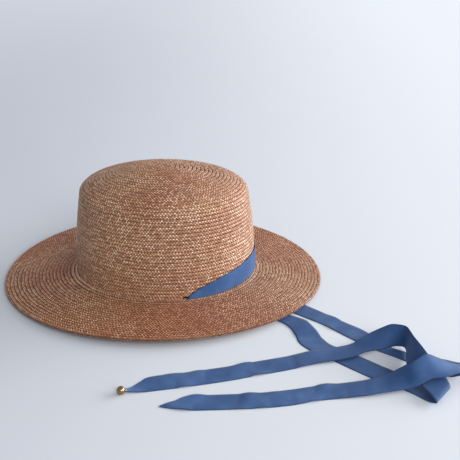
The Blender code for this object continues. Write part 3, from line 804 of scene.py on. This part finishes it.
@dataclass
class TieRibbon:
    """The ribbon: laid near end, near slit, round the crown, far slit, laid far end, all in one strip.

    Its tables have a row for each section, from the crown outwards. Spread is always the section's length in
    ribbon widths, and angles are in degrees.

    A wrap section lies on the crown. Way goes from 0 at the near slit to 1 in the middle of the right end,
    height is over the brim, in ribbon widths, and lean is how far the section leans from upright.

    A drop section lies inside the crown, inward by so many ribbon widths, and dropped from the slit's height
    to the surface by a share.

    A lay section lies on the surface. Along and aside are shares of the hat's half length and half width,
    turned by lay_turn, across is the direction from edge to edge, and rise the slope that way. Layers and
    clear are the height of its lower edge, in layers of ribbon and in ribbon widths.

    A ripple of the crumples has a length in metres, a slant in half turns across the strip, a height as a
    share of crumple, and a start in turns.
    """

    centre: Vector
    crown: CrownBraid
    brim: BrimBraid
    width: float = 0.0240
    thickness: float = 0.0010
    cloth: float = 0.0005
    gap: float = 0.0004
    seat_gap: float = 0.0003
    gather: float = 0.89
    slit_room: float = 0.0006
    lay_turn: float = 4.5
    step: float = 0.0016
    columns: int = 13
    crumple: float = 0.0013
    crumple_dip: float = 0.15
    free_start: float = 0.95
    free_ease: float = 0.15
    other_stretch: float = 2.5
    other_reach: float = 0.6
    least_clearance: float = 0.00002
    bead_diameter: float = 0.0078
    bead_neck: float = 0.0030
    bead_neck_length: float = 0.0016
    bead_tilt: float = 20.0

    wrap = (
        Wrap(0.027, 0.130, 81.0, 0.90),
        Wrap(0.086, 0.230, 68.0, 0.92),
        Wrap(0.191, 0.340, 56.0, 0.96),
        Wrap(0.316, 0.435, 42.0, 0.96),
        Wrap(0.469, 0.515, 29.0, 0.95),
        Wrap(0.637, 0.590, 17.0, 0.98),
        Wrap(0.812, 0.660, 7.0, 1.00),
        Wrap(1.000, 0.690, 0.0, 1.00),
    )
    drop = (Drop(0.05, 0.0), Drop(0.16, 0.22), Drop(0.28, 0.72), Drop(0.44, 1.0))
    near_end = (
        Lay(0.157, -0.367, 0.0, 0.00, 18.0, 0.0, 1.00),
        Lay(0.142, -0.303, 0.0, 0.00, 25.0, 0.0, 1.05),
        Lay(0.138, -0.260, 0.0, 0.00, 35.0, 0.0, 1.12),
        Lay(0.135, -0.246, 1.0, 0.00, 37.0, 0.0, 1.14),
        Lay(0.145, -0.251, 2.0, 0.00, 39.0, 0.0, 1.12),
        Lay(0.180, -0.257, 2.0, 0.00, 47.0, 0.0, 1.06),
        Lay(0.245, -0.281, 2.0, 0.00, 54.0, 0.0, 1.02),
        Lay(0.325, -0.327, 1.0, 0.00, 55.0, 0.0, 1.00),
        Lay(0.415, -0.396, 0.1, 0.00, 54.0, 0.0, 0.98),
        Lay(0.560, -0.528, 0.0, 0.00, 52.0, 0.0, 0.90),
        Lay(0.717, -0.655, 0.2, 0.00, 40.0, 3.0, 0.72),
        Lay(0.785, -0.740, 0.3, 0.00, 33.0, 8.0, 0.80),
        Lay(0.825, -0.835, 0.0, 0.00, 28.0, 5.0, 0.95),
        Lay(0.850, -0.930, 0.0, 0.00, 22.0, 0.0, 1.05),
        Lay(0.895, -1.010, 0.0, 0.00, 24.0, 0.0, 1.00),
        Lay(0.975, -1.085, 0.0, 0.00, 36.0, 0.0, 1.00),
        Lay(1.090, -1.205, 0.0, 0.00, 43.0, 0.0, 1.00),
        Lay(1.200, -1.315, 0.0, 0.00, 42.0, 0.0, 1.00),
        Lay(1.330, -1.417, 0.0, 0.00, 46.0, 0.0, 1.00),
        Lay(1.410, -1.505, 0.2, 0.00, 50.0, 0.0, 1.04),
        Lay(1.440, -1.545, 1.2, 0.03, 53.0, 0.0, 1.08),
        Lay(1.448, -1.560, 2.6, 0.05, 53.0, 0.0, 1.10),
        Lay(1.443, -1.536, 3.6, 0.06, 47.0, 2.0, 1.12),
        Lay(1.425, -1.468, 3.8, 0.06, 36.0, 6.0, 1.10),
        Lay(1.392, -1.385, 2.6, 0.06, 28.0, 20.0, 1.04),
        Lay(1.370, -1.298, 1.8, 0.04, 20.0, 44.0, 1.00),
        Lay(1.358, -1.215, 1.2, 0.02, 15.0, 62.0, 1.00),
        Lay(1.356, -1.135, 1.2, 0.00, 14.0, 74.0, 0.94),
        Lay(1.358, -1.062, 1.2, 0.00, 22.0, 83.0, 0.89),
        Lay(1.348, -1.018, 1.2, 0.00, 52.0, 85.0, 0.92),
        Lay(1.312, -1.000, 1.2, 0.00, 80.0, 80.0, 0.92),
        Lay(1.275, -0.994, 1.3, 0.00, 87.0, 62.0, 0.92),
        Lay(1.236, -0.996, 1.5, 0.00, 89.0, 38.0, 0.94),
        Lay(1.186, -0.996, 1.7, 0.00, 91.0, 17.0, 1.00),
        Lay(1.125, -1.020, 1.8, 0.00, 90.0, 6.0, 1.00),
        Lay(1.068, -1.062, 1.7, 0.00, 88.0, 0.0, 1.00),
        Lay(0.985, -1.098, 1.5, 0.00, 88.0, 0.0, 0.98),
        Lay(0.855, -1.130, 0.9, 0.00, 92.0, 0.0, 0.97),
        Lay(0.690, -1.192, 0.0, 0.00, 94.0, 0.0, 0.98),
        Lay(0.510, -1.255, 0.0, 0.00, 94.0, 0.0, 1.00),
        Lay(0.400, -1.295, 0.0, 0.00, 94.0, 0.0, 1.00),
        Lay(0.205, -1.352, 0.0, 0.00, 95.0, 0.0, 1.00),
        Lay(0.010, -1.400, 0.0, 0.00, 95.0, 0.0, 1.00),
    )
    near_tip = (
        Lay(-0.045, -1.432, 0.0, 0.00, 96.0, 0.0, 0.72),
        Lay(-0.092, -1.467, 0.0, 0.00, 98.0, 0.0, 0.30),
        Lay(-0.110, -1.480, 0.0, 0.00, 110.0, 0.0, 0.10),
    )
    tip_rise = (0.0, 0.30, 1.0)
    far_end = (
        Lay(0.160, 0.330, 0.0, 0.00, -10.0, 0.0, 1.00),
        Lay(0.165, 0.200, 0.0, 0.00, 8.0, 0.0, 1.00),
        Lay(0.225, 0.070, 0.0, 0.00, 30.0, 0.0, 1.00),
        Lay(0.335, -0.070, 0.0, 0.00, 41.0, 0.0, 1.00),
        Lay(0.475, -0.215, 0.0, 0.00, 44.0, 0.0, 0.98),
        Lay(0.650, -0.370, 0.0, 0.00, 45.0, 0.0, 0.95),
        Lay(0.830, -0.547, 0.0, 0.00, 44.0, 0.0, 0.92),
        Lay(0.960, -0.680, 0.0, 0.00, 42.0, 0.0, 0.84),
        Lay(1.030, -0.760, 0.0, 0.00, 42.0, 0.0, 0.86),
        Lay(1.115, -0.860, 0.0, 0.00, 46.0, 0.0, 0.92),
        Lay(1.240, -1.025, 0.0, 0.00, 50.0, 0.0, 0.62),
        Lay(1.312, -1.088, 0.0, 0.00, 54.0, 0.0, 0.60),
        Lay(1.420, -1.165, 0.0, 0.00, 60.0, 0.0, 0.86),
        Lay(1.520, -1.225, 0.0, 0.00, 62.0, 0.0, 1.12),
        Lay(1.566, -1.262, 0.4, 0.02, 62.0, 0.0, 1.16),
        Lay(1.594, -1.282, 1.2, 0.06, 62.0, 0.0, 1.06),
        Lay(1.610, -1.312, 2.9, 0.14, 68.0, -6.0, 0.88),
        Lay(1.592, -1.340, 4.2, 0.24, 80.0, -10.0, 0.82),
        Lay(1.532, -1.366, 4.8, 0.28, 90.0, -4.0, 0.90),
        Lay(1.464, -1.392, 4.8, 0.26, 96.0, 18.0, 0.96),
        Lay(1.398, -1.405, 4.2, 0.24, 98.0, 36.0, 1.00),
        Lay(1.335, -1.428, 3.4, 0.10, 100.0, 38.0, 0.96),
        Lay(1.272, -1.412, 2.4, 0.00, 95.0, 16.0, 1.04),
        Lay(1.195, -1.428, 1.9, 0.00, 89.0, 4.0, 1.02),
        Lay(1.115, -1.448, 1.5, 0.00, 86.0, 0.0, 1.04),
        Lay(1.000, -1.467, 0.7, 0.00, 86.0, 0.0, 1.00),
        Lay(0.865, -1.487, 0.0, 0.00, 91.0, 0.0, 0.97),
        Lay(0.695, -1.535, 0.0, 0.00, 90.0, 0.0, 1.00),
        Lay(0.520, -1.565, 0.0, 0.00, 89.0, 0.0, 0.98),
        Lay(0.330, -1.578, 0.0, 0.00, 91.0, 0.0, 0.96),
        Lay(0.200, -1.585, 0.0, 0.00, 93.0, 0.0, 0.92),
    )
    far_tip = (
        Lay(0.130, -1.604, 0.0, 0.00, 92.0, 0.0, 0.50),
        Lay(0.062, -1.615, 0.0, 0.00, 90.0, 0.0, 0.08),
    )
    ripples = (
        Ripple(0.0230, 0.30, 0.26, 0.10),
        Ripple(0.0370, -0.45, 0.40, 0.55),
        Ripple(0.0610, 0.20, 0.55, 0.30),
    )

    def _wall_point(self, angle: float, side: float, depth: float, height: float) -> np.ndarray:
        """Return a point on the crown's side, with an angle measured as on the near side."""
        crown = self.crown
        turn = math.radians(angle if side < 0 else -angle)
        steps = crown.profile_steps
        inset = np.interp(max(height, 0.0), crown.heights[:steps], crown.insets[:steps]) + depth
        return np.array(((crown.half_length - inset) * math.cos(turn),
                         (crown.half_width - inset) * math.sin(turn), self._join_top() + height))

    def _join_top(self) -> float:
        """Return the height of the brim's upper face at the crown."""
        return self.brim.join_height + self.brim.wall

    def _proud(self) -> float:
        """Return how far the middle of the ribbon's thickness lies outside the crown's face."""
        return self.seat_gap + self.gap + 0.5 * self.thickness

    def _speed(self, angle: float) -> float:
        """Return how far a point moves along the crown's oval for each radian."""
        turn = math.radians(angle)
        return math.hypot(self.crown.half_length * math.sin(turn), self.crown.half_width * math.cos(turn))

    def _wrap_sections(self) -> list[np.ndarray]:
        """Return the sections round the crown, from the near slit to the far one."""
        half = []
        for row in self.wrap:
            angle = -self.crown.slit_angle * (1.0 - row.way)
            lean = math.radians(row.lean)
            section = []
            for edge in (1.0, 0.0, -1.0):
                reach = 0.5 * self.width * row.spread * edge
                back = math.degrees(reach * math.sin(lean) / self._speed(angle))
                height = self.width * row.height + reach * math.cos(lean)
                section.append(self._wall_point(angle - back, -1.0, -self._proud(), height))
            half.append(np.array(section))
        return half + [section * (1.0, -1.0, 1.0) for section in reversed(half[:-1])]

    def _drop_sections(self, slit: Slit) -> list[np.ndarray]:
        """Return the sections through one slit and down inside the crown."""
        in_slit = self._join_top() + self.slit_room + 0.5 * self.thickness
        places = [(-self._proud(), 0.0), (0.5 * self.brim.wall, 0.0)]
        places += [(self.brim.wall + row.inward * self.width, row.dropped) for row in self.drop]
        angle = -self.crown.slit_angle
        span = math.degrees(0.5 * self.width * self.gather / self._speed(angle))
        sections = []
        for depth, dropped in places:
            section = np.array([self._wall_point(angle + edge * span, slit.value, depth, 0.0)
                                for edge in (-1.0, 0.0, 1.0)])
            section[:, 2] = in_slit + (0.5 * self.thickness - in_slit) * dropped
            sections.append(section)
        return sections

    def _lay_sections(self, rows: Sequence[Lay]) -> list[np.ndarray]:
        """Return the sections of an end that lies on the surface."""
        turn = math.radians(self.lay_turn)
        sections = []
        for row in rows:
            half = 0.5 * self.width * row.spread
            across = math.radians(row.across) + turn
            rise = math.radians(row.rise)
            height = 0.5 * self.thickness + row.layers * (self.thickness + self.gap)
            height += row.clear * self.width + half * math.sin(rise)
            along = row.along * (self.crown.half_length + self.brim.width)
            aside = row.aside * (self.crown.half_width + self.brim.width)
            middle = np.array((along * math.cos(turn) - aside * math.sin(turn),
                               along * math.sin(turn) + aside * math.cos(turn), height))
            step = np.array((math.cos(across) * math.cos(rise), math.sin(across) * math.cos(rise),
                             math.sin(rise))) * half
            sections.append(np.array((middle - step, middle, middle + step)))
        return sections

    def neck_reach(self) -> float:
        """Return how far the end of the bead's neck lies from the ball's middle."""
        shoulder = math.asin(self.bead_neck / self.bead_diameter)
        return 0.5 * self.bead_diameter * math.cos(shoulder) + self.bead_neck_length

    def near_tip_sections(self) -> list[np.ndarray]:
        """Return the sections of the near tip, which rises to the end of the bead's neck."""
        sections = self._lay_sections(self.near_tip)
        neck = 0.5 * self.bead_diameter - self.neck_reach() * math.sin(math.radians(self.bead_tilt))
        rise = neck - sections[-1][1, 2]
        for section, share in zip(sections, self.tip_rise):
            section[:, 2] += rise * share
        return sections

    def _grid(self) -> np.ndarray:
        """Return the middle surface as points, along the ribbon and across it."""
        near = self._drop_sections(Slit.NEAR) + self._lay_sections(self.near_end) + self.near_tip_sections()
        far = self._drop_sections(Slit.FAR) + self._lay_sections(self.far_end + self.far_tip)
        rows = np.array(near[::-1] + self._wrap_sections() + far)
        fine = []
        for index in range(len(rows) - 1):
            four = [rows[min(max(index + step, 0), len(rows) - 1)] for step in (-1, 0, 1, 2)]
            length = np.linalg.norm(four[2] - four[1], axis=1).max()
            count = max(1, round(length / self.step))
            fine += [smooth_between(*four, step / count) for step in range(count)]
        lines = np.array(fine + [rows[-1]])
        share = np.linspace(-1.0, 1.0, self.columns)[None, :, None]
        first, middle, last = (lines[:, None, line] for line in range(3))
        bent = middle + 0.5 * share * (last - first) + 0.5 * share ** 2 * (first + last - 2.0 * middle)
        return bent

    def _crumpled(self, grid: np.ndarray, run: np.ndarray, share: np.ndarray) -> np.ndarray:
        """Return the grid with soft crumples where the ribbon lies free.

        It lies free where it is out from under the brim, and where no other stretch of it, more than a few
        widths along, is near.

        Args:
            grid: Points of the middle surface.
            run: How far along the ribbon each row of them lies.
            share: How far across each column lies, from -1 to 1.

        Returns:
            The crumpled grid, none of it under the surface that the hat rests on.
        """
        middle = grid[:, self.columns // 2, :2]
        reach = np.hypot(middle[:, 0] / (self.crown.half_length + self.brim.width),
                         middle[:, 1] / (self.crown.half_width + self.brim.width))
        apart = np.linalg.norm(middle[:, None] - middle[None], axis=2)
        apart[np.abs(run[:, None] - run[None]) < self.other_stretch * self.width] = 1.0
        free = np.clip((reach - self.free_start) / self.free_ease, 0.0, 1.0)
        free = (free * np.clip(apart.min(axis=1) / self.width - self.other_reach, 0.0, 1.0))[:, None]
        wave = sum(ripple.height * np.sin(math.tau * (run[:, None] / ripple.length + ripple.start)
                                          + ripple.slant * math.pi * share[None, :])
                   for ripple in self.ripples)
        lift = np.maximum(wave, -self.crumple_dip) * self.crumple * free
        moved = grid.copy()
        moved[..., 2] += lift - 0.5 * (self.thickness - self.cloth)
        moved[..., 2] = np.maximum(moved[..., 2], 0.5 * self.cloth + self.least_clearance)
        return moved

    def build(self, finish: ClothFinish, bead: bpy.types.Object) -> bpy.types.Object:
        """Args:
            finish: The cloth's finish.
            bead: The bead on its near tip. It is not used.

        Returns:
            The finished piece.
        """
        grid = self._grid()
        share = np.linspace(-1.0, 1.0, self.columns)
        middle = grid[:, self.columns // 2]
        run = np.concatenate(([0.0], np.cumsum(np.linalg.norm(np.diff(middle, axis=0), axis=1))))
        grid = self._crumpled(grid, run, share)
        normal = unit(np.cross(np.gradient(grid, axis=0), np.gradient(grid, axis=1)))
        upper = grid + normal * (0.5 * self.cloth)
        lower = grid - normal * (0.5 * self.cloth)
        rings = np.concatenate((upper, lower[:, ::-1]), axis=1)
        count = 2 * self.columns
        points = rings.reshape(-1, 3) + np.array(self.centre)
        made = mesh_object("ribbon_tie", points, tube_faces(len(grid), count))
        keep_number(made.data, "run", np.repeat(run, count))
        keep_number(made.data, "side", np.tile(np.concatenate((share, share[::-1])), len(grid)))
        face_outwards(made.data)
        made.data.materials.append(finish.material())
        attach(made, "root")
        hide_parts("ribbon")
        log.info("%s: %.3f m long", made.name, run[-1])
        return made


# Bead

Collar = namedtuple("Collar", "spread along")


@dataclass
class TipBead:
    """The gold bead on the ribbon's near tip: a ball with a short collared neck.

    Each collar has its spread, as a share of the neck's radius, and its place along the neck, from its end.
    The ball has a fine seam round its middle, and it is closed by a small flat facet at its far pole.
    """

    ribbon: TieRibbon
    sides: int = 40
    rows: int = 24
    seam: float = 0.00012
    seam_spread: float = 0.05
    pole: float = 0.06

    collars = (
        Collar(0.55, 0.0),
        Collar(0.90, 0.0),
        Collar(1.00, 0.0002),
        Collar(1.00, 0.0006),
        Collar(0.80, 0.0009),
        Collar(0.80, 0.0013),
    )

    def _profile(self) -> list[tuple]:
        """Return the spread and place along its axis of each ring, from the neck's end to the far pole."""
        ribbon = self.ribbon
        radius = 0.5 * ribbon.bead_diameter
        shoulder = math.asin(ribbon.bead_neck / ribbon.bead_diameter)
        profile = [(0.5 * ribbon.bead_neck * collar.spread, collar.along - ribbon.neck_reach())
                   for collar in self.collars]
        for row in range(self.rows):
            turn = shoulder + (math.pi - self.pole - shoulder) * row / (self.rows - 1)
            wall = radius - self.seam * math.exp(-((turn - 0.5 * math.pi) / self.seam_spread) ** 2)
            profile.append((wall * math.sin(turn), -wall * math.cos(turn)))
        return profile

    def build(self, finish: GoldFinish) -> bpy.types.Object:
        """Make the bead, dress it and put it at the ribbon's tip.

        Args:
            finish: The metal's finish.

        Returns:
            The finished piece.
        """
        ribbon = self.ribbon
        sections = ribbon.near_tip_sections()
        heading = sections[-1][1] - sections[-2][1]
        heading[2] = 0.0
        heading = unit(heading)
        tilt = math.radians(ribbon.bead_tilt)
        axis = heading * math.cos(tilt) + np.array((0.0, 0.0, math.sin(tilt)))
        side = np.array((-heading[1], heading[0], 0.0))
        up = np.cross(axis, side)
        room = ribbon.seat_gap + 0.5 * ribbon.thickness * math.sin(tilt)
        middle = sections[-1][1] + axis * (ribbon.neck_reach() + room)
        middle[2] = 0.5 * ribbon.bead_diameter
        turns = math.tau * np.arange(self.sides) / self.sides
        circle = np.outer(np.cos(turns), side) + np.outer(np.sin(turns), up)
        rings = [middle + axis * place + circle * spread for spread, place in self._profile()]
        points = np.concatenate(rings) + np.array(ribbon.centre)
        made = mesh_object("tip_bead", points, tube_faces(len(rings), self.sides))
        face_outwards(made.data)
        made.data.materials.append(finish.material())
        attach(made, "root")
        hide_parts("bead")
        log.info("%s: %.1f mm across", made.name, 1000.0 * ribbon.bead_diameter)
        return made


# Studio

Window = namedtuple("Window", "name place aim high wide power colour")
Glow = namedtuple("Glow", "name place spread strength colour")


@dataclass(frozen=True)
class Studio:
    """The pale floor, the soft lamps and the camera, all placed from the middle of the crown."""

    centre: Vector
    camera_place: tuple = (0.1427, -0.8931, 0.4361)
    camera_pitch: float = 67.0
    camera_turn: float = 4.5
    focal_pixels: float = 878.0
    sight: float = 50.0
    sensor: float = 36.0
    floor_side: float = 60.0
    sky: tuple = (0.82, 0.86, 0.92)
    sky_strength: float = 0.53

    window = Window("window", (12.6, 3.6, 3.9), (0.0, 0.6, 0.0), 6.0, 15.0, 2600.0, (1.0, 0.99, 0.99))
    glows = (
        Glow("rim", (8.4, 13.8, 6.0), 26.0, 0.43, (1.0, 0.99, 0.98)),
        Glow("fill", (7.8, -10.2, 6.6), 36.0, 1.62, (1.0, 0.99, 0.98)),
    )

    def build(self) -> None:
        """Make the floor, the lamps, the sky and the camera."""
        half = 0.5 * self.floor_side
        corners = np.array(((-half, -half, 0.0), (half, -half, 0.0), (half, half, 0.0), (-half, half, 0.0)))
        floor = mesh_object("floor", corners, [(0, 1, 2, 3)])
        floor.data.materials.append(FloorFinish().material())
        self._light_window()
        for glow in self.glows:
            self._light_glow(glow)
        world = bpy.data.worlds.new("sky")
        world.use_nodes = True
        background = world.node_tree.nodes["Background"]
        background.inputs["Color"].default_value = (*self.sky, 1.0)
        background.inputs["Strength"].default_value = self.sky_strength
        bpy.context.scene.world = world
        bpy.context.scene.view_settings.view_transform = "Standard"
        self._camera()

    def _light_window(self) -> None:
        """Make the soft oblong lamp on the hat's right, which shines at its aim."""
        window = self.window
        data = bpy.data.lights.new(window.name, "AREA")
        data.shape = "RECTANGLE"
        data.size = window.wide
        data.size_y = window.high
        data.energy = window.power
        data.color = window.colour
        self._hang(data, window.place, window.aim).visible_camera = False

    def _light_glow(self, glow: Glow) -> None:
        """Make one soft, even light from a direction, round as a disc of so many degrees."""
        data = bpy.data.lights.new(glow.name, "SUN")
        data.angle = math.radians(glow.spread)
        data.energy = glow.strength
        data.color = glow.colour
        self._hang(data, glow.place, (0.0, 0.0, 0.0))

    def _hang(self, data: bpy.types.Light, place: tuple, aim: tuple) -> bpy.types.Object:
        """Return a lamp hung at a place and turned to its aim, both from the middle of the crown."""
        made = bpy.data.objects.new(data.name, data)
        made.location = self.centre + Vector(place)
        made.rotation_euler = (Vector(aim) - Vector(place)).to_track_quat("-Z", "Y").to_euler()
        bpy.context.scene.collection.objects.link(made)
        return made

    def _camera(self) -> None:
        """Make the camera, at the photograph's angle to the hat."""
        data = bpy.data.cameras.new("camera")
        data.sensor_width = self.sensor
        data.lens = self.focal_pixels * self.sensor / PHOTO_SIDE
        data.clip_end = self.sight
        made = bpy.data.objects.new("camera", data)
        made.location = self.centre + Vector(self.camera_place)
        made.rotation_euler = (math.radians(self.camera_pitch), 0.0, math.radians(self.camera_turn))
        bpy.context.scene.collection.objects.link(made)
        bpy.context.scene.camera = made


def main() -> None:
    """Build the studio, the hat and its tie, in order."""
    logging.basicConfig(level=logging.INFO, format="%(name)s: %(message)s")
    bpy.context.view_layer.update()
    low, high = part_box("crown")
    centre = Vector((0.5 * (low.x + high.x), 0.5 * (low.y + high.y), 0.0))
    Studio(centre).build()
    crown = CrownBraid("crown_braid", "crown", centre)
    crown.build(CROWN_STRAW)
    brim = BrimBraid("brim_braid", "brim", centre)
    brim.build(BRIM_STRAW)
    ribbon = TieRibbon(centre, crown, brim)
    bead = TipBead(ribbon).build(GoldFinish())
    ribbon.build(ClothFinish(), bead)


if __name__ == "__main__":
    main()
